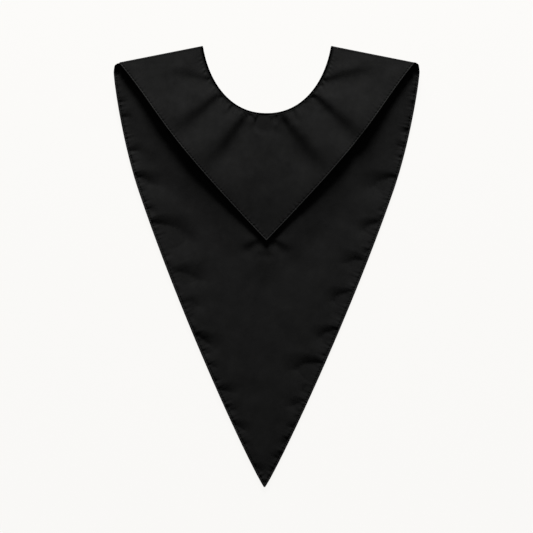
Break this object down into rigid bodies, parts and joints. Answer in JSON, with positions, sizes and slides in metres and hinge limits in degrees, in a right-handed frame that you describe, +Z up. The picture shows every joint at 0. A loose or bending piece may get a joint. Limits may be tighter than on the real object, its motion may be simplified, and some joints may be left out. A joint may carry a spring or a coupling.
{
  "type": "graduation stole",
  "caption": "Black V-shaped graduation stole with a turned-over V collar and a rolled neck seam, lying flat and folded on its shoulder seams.",
  "frame": {"origin": "on the surface that the stole lies on, under the middle of its length and width", "axes": "+X to the right as the stole is seen from above, +Y from the tip towards the neck, +Z up"},
  "size_m": [0.4318, 0.6232, 0.015],
  "materials": {
    "body_cloth": "matte black plain-woven polyester, hemmed and topstitched in black",
    "collar_cloth": "matte black plain-woven polyester, stiffer and pressed, topstitched in black",
    "neck_seam": "matte black cloth rolled over the neck seam"
  },
  "bodies": {
    "root": {"front_panel": "body_cloth", "back_panel": "body_cloth", "front_collar": "collar_cloth", "back_collar": "collar_cloth", "neck_roll": "neck_seam"}
  },
  "joints": []
}
